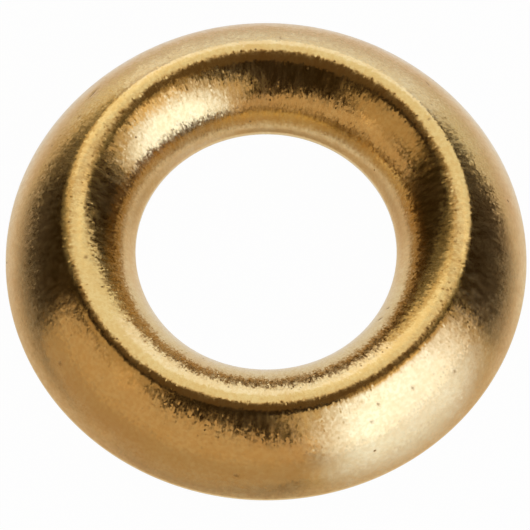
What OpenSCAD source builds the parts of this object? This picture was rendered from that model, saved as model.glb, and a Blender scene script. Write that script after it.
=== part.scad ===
// Finishing cup washer: one ring pressed from brass sheet. A screw head sits down in its well,
// and the foot under its skirt bears on the work.
// The foot stands on Z = 0 and the screw's axis is Z.

/* [Overall] */
// Diameter of the rim
outer_d = 14; // [12.6:0.1:18]
// Height from the foot to the top of the crown
height = 2.35; // [2:0.05:3.2]
// Thickness of the sheet
sheet_t = 0.45; // [0.3:0.01:0.6]

/* [Crown] */
// Diameter of the circle along the top of the crown
crown_d = 10.36; // [9.8:0.02:11.4]
// Inside radius of the bend from the crown to the skirt
skirt_bend_r = 0.1; // [0.05:0.01:0.4]
// Inside radius of the bend from the crown to the well
well_bend_r = 0.3; // [0.1:0.01:0.7]

/* [Skirt] */
// Angle between the skirt's curve and its chord, at each end
skirt_bow = 17; // [2:0.5:20]
// Height of the straight trimmed edge at the rim
rim_land = 0.08; // [0.02:0.01:0.3]

/* [Well] */
// Diameter of the hole
hole_d = 7; // [5:0.1:7.6]
// Height of the hole's upper edge above the foot
hole_edge_z = 0.64; // [0.3:0.01:1]
// Angle between the well's curve and its chord, at each end
well_bow = 22; // [2:0.5:26]
// Height of the straight pierced wall in the hole
hole_land = 0.15; // [0.05:0.01:0.25]

/* [Hidden] */
$fn = 240;

// Colour of the brass
brass_colour = [0.80, 0.62, 0.30];
// Steps that each arc of the section is drawn in
bend_steps = 12;
flank_steps = 10;

// Radii of the crown's circle, the rim and the hole
crown_r = crown_d / 2;
outer_r = outer_d / 2;
hole_r = hole_d / 2;

// The two sides of the section, each from the crown down to its trimmed edge:
// inside radius of the bend, way that it runs, distance that it reaches,
// height of the edge's top, height of the edge and bow of the flank
skirt_side = [skirt_bend_r, 1, outer_r - crown_r, rim_land, rim_land, skirt_bow];
well_side = [well_bend_r, -1, crown_r - hole_r, hole_edge_z, hole_land, well_bow];

// Direction that the sheet's upper face looks where it is tilted down by this angle
function facing(tilt) = [sin(tilt), cos(tilt)];

// Tilt of a flank's chord, where a bend of radius r about [0, 0] runs tangent into the flank's arc
// and that arc ends at [reach, -drop]
function chord_tilt(r, reach, drop, bow) =
    atan2(drop, reach) + asin(r * cos(bow) / norm([reach, drop]));

// Points along an arc between two tilts, without its first point
function arc_points(centre, r, from_tilt, to_tilt, steps) =
    [for (i = [1:steps]) centre + r * facing(from_tilt + (to_tilt - from_tilt) * i / steps)];

// Points down one face of a side, at this depth under the upper face:
// a bend about the crown, then a bowed flank tangent to it, down to the trimmed edge
function face_points(side, depth) =
    let (
        bend_r = side[0] + sheet_t,
        way = side[1],
        reach = side[2],
        edge_top = side[3],
        edge_bottom = edge_top - side[4],
        bow = side[5],
        bend_centre = [0, height - bend_r],
        drop = bend_centre.y - edge_top,
        tilt = chord_tilt(bend_r, reach, drop, bow),
        chord = reach * cos(tilt) + drop * sin(tilt) + bend_r * sin(bow),
        join_tilt = tilt - bow,
        flank_r = chord / (2 * sin(bow)),
        flank_centre = bend_centre + (bend_r - flank_r) * facing(join_tilt),
        end_tilt = depth == 0 ? tilt + bow : acos((edge_bottom - flank_centre.y) / (flank_r - depth)),
        bend = arc_points(bend_centre, bend_r - depth, 0, join_tilt, bend_steps),
        flank = arc_points(flank_centre, flank_r - depth, join_tilt, end_tilt, flank_steps)
    )
    [for (p = concat(bend, flank)) [crown_r + way * p.x, p.y]];

function reversed(points) = [for (i = [len(points) - 1:-1:0]) points[i]];

// Section of the sheet: over the skirt to the rim, back under it and under the well to the hole,
// and up the well to the crown
module sheet_section() {
    polygon(concat(
        [[crown_r, height]],
        face_points(skirt_side, 0),
        [[outer_r, 0]],
        reversed(face_points(skirt_side, sheet_t)),
        [[crown_r, height - sheet_t]],
        face_points(well_side, sheet_t),
        [[hole_r, hole_edge_z - hole_land]],
        reversed(face_points(well_side, 0))
    ));
}

module cup_washer() {
    color(brass_colour)
        rotate_extrude()
            sheet_section();
}

cup_washer();
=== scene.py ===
"""A finishing cup washer in tumbled brass, on a pale floor under soft studio light."""

import math

import bpy
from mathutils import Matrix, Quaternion, Vector


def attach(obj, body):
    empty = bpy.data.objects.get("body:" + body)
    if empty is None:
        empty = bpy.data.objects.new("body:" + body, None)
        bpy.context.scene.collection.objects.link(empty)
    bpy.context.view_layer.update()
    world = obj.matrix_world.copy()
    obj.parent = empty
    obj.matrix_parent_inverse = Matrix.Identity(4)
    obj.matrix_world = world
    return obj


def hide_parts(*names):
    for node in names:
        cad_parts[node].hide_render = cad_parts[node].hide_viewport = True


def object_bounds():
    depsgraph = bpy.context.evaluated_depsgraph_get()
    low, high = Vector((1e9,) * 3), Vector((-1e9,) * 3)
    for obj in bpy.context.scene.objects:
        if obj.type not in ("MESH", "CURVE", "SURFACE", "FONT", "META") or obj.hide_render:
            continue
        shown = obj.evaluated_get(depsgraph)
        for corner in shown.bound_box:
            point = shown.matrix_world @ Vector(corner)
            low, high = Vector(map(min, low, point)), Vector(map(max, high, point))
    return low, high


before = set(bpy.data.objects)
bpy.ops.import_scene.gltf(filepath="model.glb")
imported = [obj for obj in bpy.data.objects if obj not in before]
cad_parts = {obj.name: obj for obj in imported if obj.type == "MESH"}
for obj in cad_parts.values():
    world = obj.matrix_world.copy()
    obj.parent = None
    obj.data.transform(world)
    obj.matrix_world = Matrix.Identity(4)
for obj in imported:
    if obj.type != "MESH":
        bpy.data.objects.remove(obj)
cad_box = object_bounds()

MM = 0.001

# Section of the sheet, in millimetres
CROWN_R = 5.18
HOLE_R = 3.5
SHEET = 0.45
SKIRT_BEND_R = 0.55
WELL_BEND_R = 0.75
SKIRT_BOW = math.radians(17)
WELL_BOW = math.radians(22)
RIM_LAND = 0.08
HOLE_EDGE_Z = 0.64
HOLE_LAND = 0.15
RIM_R = cad_box[1].x / MM
HEIGHT = cad_box[1].z / MM

# Fineness of the mesh: steps along the section and round of the trimmed edges in millimetres,
# fewest steps of an arc, and segments around the ring
UPPER_STEP = 0.055
UNDER_STEP = 0.22
EDGE_ROUND = 0.03
FEWEST_STEPS = 4
SEGMENTS = 640

# Nicks and pits: azimuth in degrees, distance along the section from the crown (negative down the
# well), length, width and depth in millimetres, and the angle of the length to the section in degrees
MARKS = [
    (137.0, 1.60, 0.19, 0.065, 0.015, 104),
    (145.4, 1.17, 0.05, 0.04, 0.008, 0),
    (191.1, -0.31, 0.06, 0.04, 0.010, 20),
    (322.8, -1.78, 0.10, 0.04, 0.010, 30),
    (328.6, -1.78, 0.06, 0.03, 0.008, 0),
    (310.6, 0.97, 0.06, 0.04, 0.008, 0),
    (297.2, 1.19, 0.05, 0.04, 0.008, 0),
    (300.3, 0.81, 0.05, 0.03, 0.006, 0),
    (322.4, 1.53, 0.05, 0.04, 0.008, 0),
    (212.8, 1.86, 0.05, 0.04, 0.006, 0),
    (46.4, 1.53, 0.09, 0.03, 0.008, 60),
    (85.9, 0.48, 0.06, 0.03, 0.006, 0),
    (35.4, 0.18, 0.05, 0.03, 0.006, 0),
    (263.2, 2.19, 0.07, 0.04, 0.006, 80),
]
# Distance past which a mark is no longer felt, in millimetres
MARK_REACH = 0.6

# Distances along the section, in millimetres from the crown, over which the grain fades towards
# the hole and the rim, and the share of it that is left there
WELL_FADE = (-1.9, -1.4)
SKIRT_FADE = (1.2, 1.9)
EDGE_GRAIN = 0.35

# Colours of the brass
DEEP_BRASS = (0.83, 0.63, 0.31, 1)
PALE_BRASS = (0.86, 0.68, 0.36, 1)
MOTTLED_BRASS = (0.76, 0.51, 0.21, 1)
TARNISHED_BRASS = (0.76, 0.50, 0.24, 1)
DARK_MARK_BRASS = (0.30, 0.17, 0.06, 1)

# Floor: its half width and the pool of light that falls on it through the hole, in metres, and the
# colours of its glow from above and at a low angle, the warm one a painted light bounced off the brass
FLOOR_HALF = 0.6
POOL_CENTRE = (0.0, -1.0 * MM, 0.0)
POOL_FULL_R = 1.8 * MM
POOL_END_R = 3.2 * MM
WHITE = (1.0, 1.0, 1.0, 1)
PAINTED_BOUNCE_WHITE = (1.0, 0.76, 0.60, 1)

# Lamps: their distance, in metres, how much nearer a layer stands for each degree of its half width,
# and the light of the room around them
LAMP_DISTANCE = 0.4
LAYER_STEP = 0.001
DIM_ROOM = (0.020, 0.011, 0.003, 1)

# Camera: its distance in metres, its sensor in millimetres, and the scale and the place of the
# washer's centre in a frame of 530 pixels
FRAME_PX = 530
PX_PER_MM = 37.2
CAMERA_DISTANCE = 0.220
CAMERA_ELEVATION = math.radians(65.7)
CENTRE_RIGHT_PX = 1.1
CENTRE_UP_PX = 4.7
SENSOR = 36.0


def facing(tilt):
    """Direction that a face looks where it is tilted down by this angle."""
    return Vector((math.sin(tilt), math.cos(tilt)))


def side_arcs(bend_r, reach, edge_top, bow):
    """The bend and the flank of one side, each as a centre, a radius and two tilts."""
    centre = Vector((0, HEIGHT - bend_r))
    drop = centre.y - edge_top
    lean = math.asin(bend_r * math.cos(bow) / math.hypot(reach, drop))
    tilt = math.atan2(drop, reach) + lean
    chord = reach * math.cos(tilt) + drop * math.sin(tilt) + bend_r * math.sin(bow)
    join = tilt - bow
    flank_r = chord / (2 * math.sin(bow))
    flank_centre = centre + (bend_r - flank_r) * facing(join)
    return (centre, bend_r, 0.0, join), (flank_centre, flank_r, join, tilt + bow)


def arc_points(arc, depth, step):
    """Points along an arc at this depth under the upper face, without the first."""
    centre, radius, start, end = arc
    radius -= depth
    count = max(FEWEST_STEPS, math.ceil(radius * (end - start) / step))
    return [centre + radius * facing(start + (end - start) * i / count) for i in range(1, count + 1)]


def side_points(way, bend_r, reach, edge_top, land, bow):
    """Upper and under face of one side of the section, from the crown outwards."""
    bend, flank = side_arcs(bend_r, reach, edge_top, bow)
    upper = arc_points(bend, 0, UPPER_STEP) + arc_points(flank, 0, UPPER_STEP)
    centre, radius, join, _ = flank
    under_end = math.acos((edge_top - land - centre.y) / (radius - SHEET))
    under_flank = (centre, radius, join, under_end)
    under = arc_points(bend, SHEET, UNDER_STEP) + arc_points(under_flank, SHEET, UNDER_STEP)
    return [[Vector((CROWN_R + way * p.x, p.y)) for p in face] for face in (upper, under)]


def rounded(before, corner, after):
    """A sharp corner as a small round of points."""
    start = corner + (before - corner).normalized() * EDGE_ROUND
    end = corner + (after - corner).normalized() * EDGE_ROUND
    shares = (0.0, 0.33, 0.67, 1.0)
    return [start * (1 - t) ** 2 + corner * 2 * t * (1 - t) + end * t**2 for t in shares]


def section_outline():
    """The closed section, from the crown over the skirt, back under the sheet and up the well."""
    skirt_upper, skirt_under = side_points(
        1, SKIRT_BEND_R, RIM_R - CROWN_R, RIM_LAND, RIM_LAND, SKIRT_BOW
    )
    well_upper, well_under = side_points(
        -1, WELL_BEND_R, CROWN_R - HOLE_R, HOLE_EDGE_Z, HOLE_LAND, WELL_BOW
    )
    rim_foot = Vector((RIM_R, 0))
    hole_foot = Vector((HOLE_R, HOLE_EDGE_Z - HOLE_LAND))
    outline = [Vector((CROWN_R, HEIGHT))]
    outline += skirt_upper[:-1]
    outline += rounded(skirt_upper[-2], skirt_upper[-1], rim_foot)
    outline += rounded(skirt_upper[-1], rim_foot, skirt_under[-1])
    outline += rounded(rim_foot, skirt_under[-1], skirt_under[-2])
    outline += skirt_under[-2::-1]
    outline += [Vector((CROWN_R, HEIGHT - SHEET))]
    outline += well_under[:-1]
    outline += rounded(well_under[-2], well_under[-1], hole_foot)
    outline += rounded(well_under[-1], hole_foot, well_upper[-1])
    outline += rounded(hole_foot, well_upper[-1], well_upper[-2])
    outline += well_upper[-2::-1]
    return outline


def section_runs(outline):
    """Distance of each point along the section from the crown, negative down the well."""
    runs = [0.0]
    for a, b in zip(outline, outline[1:]):
        runs.append(runs[-1] + (b - a).length)
    whole = runs[-1] + (outline[0] - outline[-1]).length
    return [run if run < whole / 2 else run - whole for run in runs]


def section_normals(outline):
    """Direction out of the metal at each point of the section."""
    normals = []
    for before, after in zip(outline[-1:] + outline[:-1], outline[1:] + outline[:1]):
        along = (after - before).normalized()
        normals.append(Vector((-along.y, along.x)))
    return normals


def mark_at(angle, radius, run):
    """How much of a mark lies at this place, from 0 to 1, and how deep it is there."""
    share, depth = 0.0, 0.0
    for azimuth, mark_run, length, width, mark_depth, turn in MARKS:
        across = (angle - math.radians(azimuth)) * radius
        along = run - mark_run
        if abs(across) > MARK_REACH or abs(along) > MARK_REACH:
            continue
        c, s = math.cos(math.radians(turn)), math.sin(math.radians(turn))
        far = ((along * c + across * s) / length) ** 2 + ((across * c - along * s) / width) ** 2
        here = math.exp(-far)
        share = max(share, here)
        depth = max(depth, here * mark_depth)
    return share, depth


def lathe_washer():
    """The washer as one closed mesh, with each point's place on the unrolled sheet for its grain."""
    outline = section_outline()
    count = len(outline)
    section = list(zip(outline, section_normals(outline), section_runs(outline)))
    points, unrolled, marks, faces = [], [], [], []
    for i in range(SEGMENTS):
        angle = 2 * math.pi * i / SEGMENTS
        out = Vector((math.cos(angle), math.sin(angle)))
        for p, normal, run in section:
            share, depth = mark_at(angle, p.x, run)
            q = p - normal * depth
            points.append((out.x * q.x * MM, out.y * q.x * MM, q.y * MM))
            unrolled.append((out.x * CROWN_R, out.y * CROWN_R, run))
            marks.append(share)
        here, there = i * count, (i + 1) % SEGMENTS * count
        for j in range(count):
            k = (j + 1) % count
            faces.append((here + j, here + k, there + k, there + j))
    mesh = bpy.data.meshes.new("cup_washer_brass")
    mesh.from_pydata(points, [], faces)
    places = mesh.attributes.new("unrolled", "FLOAT_VECTOR", "POINT")
    places.data.foreach_set("vector", [x for v in unrolled for x in v])
    marked = mesh.attributes.new("mark", "FLOAT", "POINT")
    marked.data.foreach_set("value", marks)
    mesh.shade_smooth()
    washer = bpy.data.objects.new("cup_washer_brass", mesh)
    bpy.context.scene.collection.objects.link(washer)
    return washer


def new_material(name):
    """A material without nodes, and its node tree."""
    material = bpy.data.materials.new(name)
    material.use_nodes = True
    material.node_tree.nodes.clear()
    return material, material.node_tree


def put(tree, socket, value):
    """Link a socket to another one, or set its value."""
    if isinstance(value, bpy.types.NodeSocket):
        tree.links.new(value, socket)
    else:
        socket.default_value = value


def add(tree, kind, **sockets):
    """A shader node, with its sockets set or linked by name."""
    node = tree.nodes.new(kind)
    for name, value in sockets.items():
        put(tree, node.inputs[name.replace("_", " ")], value)
    return node


def calculate(tree, operation, *values):
    """A sum on numbers."""
    node = tree.nodes.new("ShaderNodeMath")
    node.operation = operation
    for socket, value in zip(node.inputs, values):
        put(tree, socket, value)
    return node.outputs[0]


def combine(tree, operation, *values):
    """A sum on vectors."""
    node = tree.nodes.new("ShaderNodeVectorMath")
    node.operation = operation
    for socket, value in zip(node.inputs, values):
        put(tree, socket, value)
    return node.outputs[0]


def scale_by(tree, vector, factor):
    """A vector times a number."""
    node = tree.nodes.new("ShaderNodeVectorMath")
    node.operation = "SCALE"
    put(tree, node.inputs[0], vector)
    put(tree, node.inputs["Scale"], factor)
    return node.outputs[0]


def remap(tree, value, low, high, to_low, to_high):
    """A number taken smoothly from one range to another."""
    node = add(
        tree, "ShaderNodeMapRange", Value=value, From_Min=low, From_Max=high, To_Min=to_low, To_Max=to_high
    )
    node.interpolation_type = "SMOOTHSTEP"
    return node.outputs["Result"]


def blend(tree, share, first, second):
    """A colour between two others."""
    node = tree.nodes.new("ShaderNodeMix")
    node.data_type = "RGBA"
    put(tree, node.inputs["Factor"], share)
    # The node has sockets for each type of data, and these are the ones for colours
    put(tree, node.inputs[6], first)
    put(tree, node.inputs[7], second)
    return node.outputs[2]


def mix_shaders(tree, share, first, second):
    """A shader between two others."""
    node = tree.nodes.new("ShaderNodeMixShader")
    for socket, value in zip(node.inputs, (share, first, second)):
        put(tree, socket, value)
    return node.outputs[0]


def sheet_noise(tree, place, per_mm, detail, stretch=1.0):
    """Noise on the unrolled sheet, so many times a millimetre and drawn out along the section."""
    scaled = combine(tree, "MULTIPLY", place, (per_mm, per_mm, per_mm / stretch))
    return add(tree, "ShaderNodeTexNoise", Vector=scaled, Scale=1.0, Detail=detail, Roughness=0.55)


def sheet_cells(tree, place, per_mm, stretch=1.0):
    """Cells on the unrolled sheet, so many to a millimetre and drawn out along the section."""
    scaled = combine(tree, "MULTIPLY", place, (per_mm, per_mm, per_mm / stretch))
    return add(tree, "ShaderNodeTexVoronoi", Vector=scaled, Scale=1.0, Randomness=1.0)


def centred(tree, colour, strength):
    """A noise's colour as a vector about zero."""
    return scale_by(tree, combine(tree, "SUBTRACT", colour, (0.5, 0.5, 0.5)), strength)


def chosen_spots(tree, cells, above, inner, outer):
    """Round spots, from 1 down to 0, in the cells whose random number lies above a limit."""
    pick = add(tree, "ShaderNodeSeparateColor", Color=cells.outputs["Color"])
    chosen = calculate(tree, "GREATER_THAN", pick.outputs["Blue"], above)
    near = remap(tree, cells.outputs["Distance"], inner, outer, 1.0, 0.0)
    return calculate(tree, "MULTIPLY", near, chosen)


def grain_tilt(tree, place):
    """Tilt of the surface by fibres, facets and small dents about the crown, and by slow waves."""
    fibres = sheet_noise(tree, place, 30.0, detail=1.0, stretch=3.5)
    facets = sheet_cells(tree, place, 15.0, stretch=1.3)
    dents = sheet_cells(tree, place, 15.0, stretch=1.5)
    waves = sheet_noise(tree, place, 0.9, detail=1.0)
    tilt = centred(tree, fibres.outputs["Color"], 0.075)
    tilt = combine(tree, "ADD", tilt, centred(tree, facets.outputs["Color"], 0.085))
    dented = chosen_spots(tree, dents, above=0.66, inner=0.20, outer=0.60)
    dent_strength = calculate(tree, "MULTIPLY", dented, 0.20)
    tilt = combine(tree, "ADD", tilt, centred(tree, dents.outputs["Color"], dent_strength))
    run = add(tree, "ShaderNodeSeparateXYZ", Vector=place).outputs["Z"]
    in_well = remap(tree, run, *WELL_FADE, EDGE_GRAIN, 1.0)
    on_skirt = remap(tree, run, *SKIRT_FADE, 1.0, EDGE_GRAIN)
    tilt = scale_by(tree, tilt, calculate(tree, "MULTIPLY", in_well, on_skirt))
    return combine(tree, "ADD", tilt, centred(tree, waves.outputs["Color"], 0.04))


def tilted_normal(tree, tilt):
    """The surface's normal, tilted along the section by X and half as much around the ring by Y."""
    tilts = add(tree, "ShaderNodeSeparateXYZ", Vector=tilt)
    normal = add(tree, "ShaderNodeNewGeometry").outputs["Normal"]
    tangent = tree.nodes.new("ShaderNodeTangent")
    tangent.direction_type = "RADIAL"
    tangent.axis = "Z"
    around = tangent.outputs[0]
    along = combine(tree, "CROSS_PRODUCT", normal, around)
    around_tilt = calculate(tree, "MULTIPLY", tilts.outputs["Y"], 0.5)
    tilted = combine(tree, "ADD", normal, scale_by(tree, along, tilts.outputs["X"]))
    tilted = combine(tree, "ADD", tilted, scale_by(tree, around, around_tilt))
    return combine(tree, "NORMALIZE", tilted)


def attribute(tree, name):
    """A node that reads one of the mesh's attributes."""
    node = tree.nodes.new("ShaderNodeAttribute")
    node.attribute_name = name
    return node


def brass_colour(tree, place, pits_and_nicks):
    """Two tones of brass, mottled and tarnished in places, and darker at pits and nicks."""
    tones = sheet_noise(tree, place, 1.6, detail=4.0)
    tone = remap(tree, tones.outputs["Fac"], 0.35, 0.65, 0.0, 1.0)
    colour = blend(tree, tone, DEEP_BRASS, PALE_BRASS)
    mottle = sheet_noise(tree, place, 9.0, detail=2.0)
    mottled = remap(tree, mottle.outputs["Fac"], 0.38, 0.62, 0.0, 0.45)
    colour = blend(tree, mottled, colour, MOTTLED_BRASS)
    film = sheet_noise(tree, place, 0.35, detail=3.0)
    tarnish = remap(tree, film.outputs["Fac"], 0.45, 0.70, 0.0, 0.35)
    colour = blend(tree, tarnish, colour, TARNISHED_BRASS)
    # The brass is made darker at pits and nicks
    return blend(tree, calculate(tree, "MULTIPLY", pits_and_nicks, 0.8), colour, DARK_MARK_BRASS)


def brass_roughness(tree, place, pits_and_nicks):
    """Roughness in streaks along the section, and more of it at pits and nicks."""
    streaks = sheet_noise(tree, place, 7.0, detail=3.0, stretch=3.0)
    roughness = remap(tree, streaks.outputs["Fac"], 0.3, 0.7, 0.15, 0.24)
    return calculate(tree, "ADD", roughness, calculate(tree, "MULTIPLY", pits_and_nicks, 0.3))


def brass():
    """Tumbled brass, with drawn grain, dents, pits and nicks."""
    material, tree = new_material("tumbled_brass")
    place = attribute(tree, "unrolled").outputs["Vector"]
    pits = chosen_spots(tree, sheet_cells(tree, place, 2.4), above=0.93, inner=0.05, outer=0.11)
    # Pits and nicks, where the brass is made darker and rougher
    pits_and_nicks = calculate(tree, "MAXIMUM", pits, attribute(tree, "mark").outputs["Fac"])
    shader = add(
        tree,
        "ShaderNodeBsdfPrincipled",
        Base_Color=brass_colour(tree, place, pits_and_nicks),
        Metallic=1.0,
        Roughness=brass_roughness(tree, place, pits_and_nicks),
        Normal=tilted_normal(tree, grain_tilt(tree, place)),
    )
    add(tree, "ShaderNodeOutputMaterial", Surface=shader.outputs["BSDF"])
    return material


def floor_lowness(tree):
    """How low the floor is looked at, from 0 straight above it to 1 along it. The pool of light counts
    as looked at from above, except at the lowest angles."""
    lowness = add(tree, "ShaderNodeLayerWeight", Blend=0.5).outputs["Facing"]
    from_pool = tree.nodes.new("ShaderNodeVectorMath")
    from_pool.operation = "DISTANCE"
    put(tree, from_pool.inputs[0], add(tree, "ShaderNodeNewGeometry").outputs["Position"])
    put(tree, from_pool.inputs[1], POOL_CENTRE)
    outside = remap(tree, from_pool.outputs["Value"], POOL_FULL_R, POOL_END_R, 0.0, 1.0)
    outside = calculate(tree, "MAXIMUM", outside, remap(tree, lowness, 0.62, 0.76, 0.0, 1.0))
    return calculate(tree, "MULTIPLY", outside, lowness)


def pale_floor():
    """A white sheet that keeps the washer's shadow. In reflections at a low angle its glow is dimmer and
    warmer, a painted shade and painted warm light bounced off the brass, and it mirrors the lamps."""
    material, tree = new_material("pale_floor")
    path = add(tree, "ShaderNodeLightPath").outputs
    not_camera = calculate(tree, "SUBTRACT", 1.0, path["Is Camera Ray"])
    low = floor_lowness(tree)

    straight = calculate(tree, "MULTIPLY", path["Is Camera Ray"], 0.98)
    # In reflections the glow is dimmer at a low angle, a painted shade about the washer, and brighter in
    # the painted pool of light under the hole
    mirrored = calculate(tree, "MAXIMUM", path["Is Glossy Ray"], path["Is Transmission Ray"])
    mirrored = calculate(tree, "MULTIPLY", mirrored, remap(tree, low, 0.24, 0.62, 0.70, 0.26))
    glow_share = calculate(tree, "MAXIMUM", straight, mirrored)
    # The glow turns warm at a low angle in reflections: painted light bounced off the brass
    warm = calculate(tree, "MULTIPLY", not_camera, remap(tree, low, 0.12, 0.55, 0.0, 1.0))
    glow_colour = blend(tree, warm, WHITE, PAINTED_BOUNCE_WHITE)
    glow = add(tree, "ShaderNodeEmission", Color=glow_colour, Strength=1.0)
    paper = add(tree, "ShaderNodeBsdfDiffuse", Color=(0.9, 0.9, 0.9, 1))
    sheet = mix_shaders(tree, glow_share, paper.outputs[0], glow.outputs[0])

    mirror_share = calculate(tree, "MULTIPLY", not_camera, remap(tree, low, 0.34, 0.86, 0.0, 0.95))
    mirror = add(tree, "ShaderNodeBsdfGlossy", Roughness=0.08)
    floor = mix_shaders(tree, mirror_share, sheet, mirror.outputs[0])
    add(tree, "ShaderNodeOutputMaterial", Surface=floor)
    return material


def lay_floor():
    """A square floor under the washer."""
    mesh = bpy.data.meshes.new("floor")
    corners = [(-1, -1), (1, -1), (1, 1), (-1, 1)]
    mesh.from_pydata([(x * FLOOR_HALF, y * FLOOR_HALF, 0) for x, y in corners], [], [(0, 1, 2, 3)])
    floor = bpy.data.objects.new("floor", mesh)
    bpy.context.scene.collection.objects.link(floor)
    mesh.materials.append(pale_floor())


def softbox(name, at, half_size, radiance, shape="ELLIPSE", roll=0.0, distance=LAMP_DISTANCE):
    """An area lamp that faces the washer: azimuth and elevation, half width and half height, and roll
    are in degrees."""
    azimuth, elevation = (math.radians(angle) for angle in at)
    flat = Vector((math.cos(azimuth), math.sin(azimuth), 0))
    away = flat * math.cos(elevation) + Vector((0, 0, math.sin(elevation)))
    lamp = bpy.data.lights.new(name, "AREA")
    lamp.shape = shape
    lamp.size, lamp.size_y = (2 * distance * math.tan(math.radians(angle)) for angle in half_size)
    area = lamp.size * lamp.size_y * (math.pi / 4 if shape == "ELLIPSE" else 1)
    level = max(radiance)
    lamp.energy = level * math.pi * area
    lamp.color = [channel / level for channel in radiance]
    thing = bpy.data.objects.new(name, lamp)
    thing.location = away * distance
    turned = away.to_track_quat("Z", "Y") @ Quaternion((0, 0, 1), math.radians(roll))
    thing.rotation_euler = turned.to_euler()
    bpy.context.scene.collection.objects.link(thing)


def layered_softbox(name, at, half_sizes, radiance, roll=0.0):
    """Elliptical lamps of growing size, one before another, whose light fades towards the border."""
    for half_size in half_sizes:
        distance = LAMP_DISTANCE - LAYER_STEP * half_size[0]
        softbox(name, at, half_size, radiance, roll=roll, distance=distance)


def light_studio():
    """Softboxes behind and at the right, a warm card at the left and front, and a dim ceiling."""
    world = bpy.data.worlds.new("studio")
    world.use_nodes = True
    world.node_tree.nodes["Background"].inputs["Color"].default_value = DIM_ROOM
    bpy.context.scene.world = world
    fade_light = (0.115, 0.093, 0.050)
    softbox("back_panel", (83, 35), (49, 38), (0.50, 0.38, 0.21), roll=-9)
    softbox("back_core", (79, 34), (43, 35), (0.38, 0.45, 0.45), roll=-9)
    softbox("back_glow", (86, 9), (30, 22), (0.19, 0.27, 0.50))
    layered_softbox("back_left", (126, 29), [(15, 32), (24, 32)], fade_light, roll=-14)
    layered_softbox("back_right", (27, 54), [(9, 13), (14.4, 13)], fade_light)
    softbox("right_wide", (321, 17), (35, 34), (0.60, 0.45, 0.25), shape="RECTANGLE", roll=8)
    layered_softbox("right_core", (321, 9), [(21, 25), (27, 31), (32, 36)], (0.27, 0.39, 0.62))
    softbox("right_top", (333, 52), (12, 13), (0.34, 0.23, 0.10))
    softbox("left_top", (202, 37), (17, 12), (0.47, 0.32, 0.16), shape="RECTANGLE", roll=-14)
    softbox("front_card", (234, 6), (52, 20), (0.56, 0.39, 0.22), shape="RECTANGLE", roll=-2)
    softbox("ceiling", (90, 89), (25, 25), (0.085, 0.05, 0.021), shape="RECTANGLE")


def place_camera():
    """The camera in front of the washer and above it, aimed so that the ring fills the frame."""
    camera = bpy.data.objects.new("camera", bpy.data.cameras.new("camera"))
    bpy.context.scene.collection.objects.link(camera)
    camera.data.sensor_width = SENSOR
    camera.data.lens = SENSOR * CAMERA_DISTANCE / (FRAME_PX / PX_PER_MM * MM)
    camera.data.clip_start = 0.01
    camera.data.clip_end = 5.0
    away = Vector((0, -math.cos(CAMERA_ELEVATION), math.sin(CAMERA_ELEVATION)))
    up = Vector((0, math.sin(CAMERA_ELEVATION), math.cos(CAMERA_ELEVATION)))
    px = MM / PX_PER_MM
    offset = Vector((-CENTRE_RIGHT_PX * px, 0, 0)) - up * CENTRE_UP_PX * px
    camera.location = away * CAMERA_DISTANCE + offset
    camera.rotation_euler = away.to_track_quat("Z", "Y").to_euler()
    bpy.context.scene.camera = camera


washer = lathe_washer()
washer.data.materials.append(brass())
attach(washer, "root")
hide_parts("cup_washer")
lay_floor()
light_studio()
place_camera()
bpy.context.scene.view_settings.view_transform = "Standard"
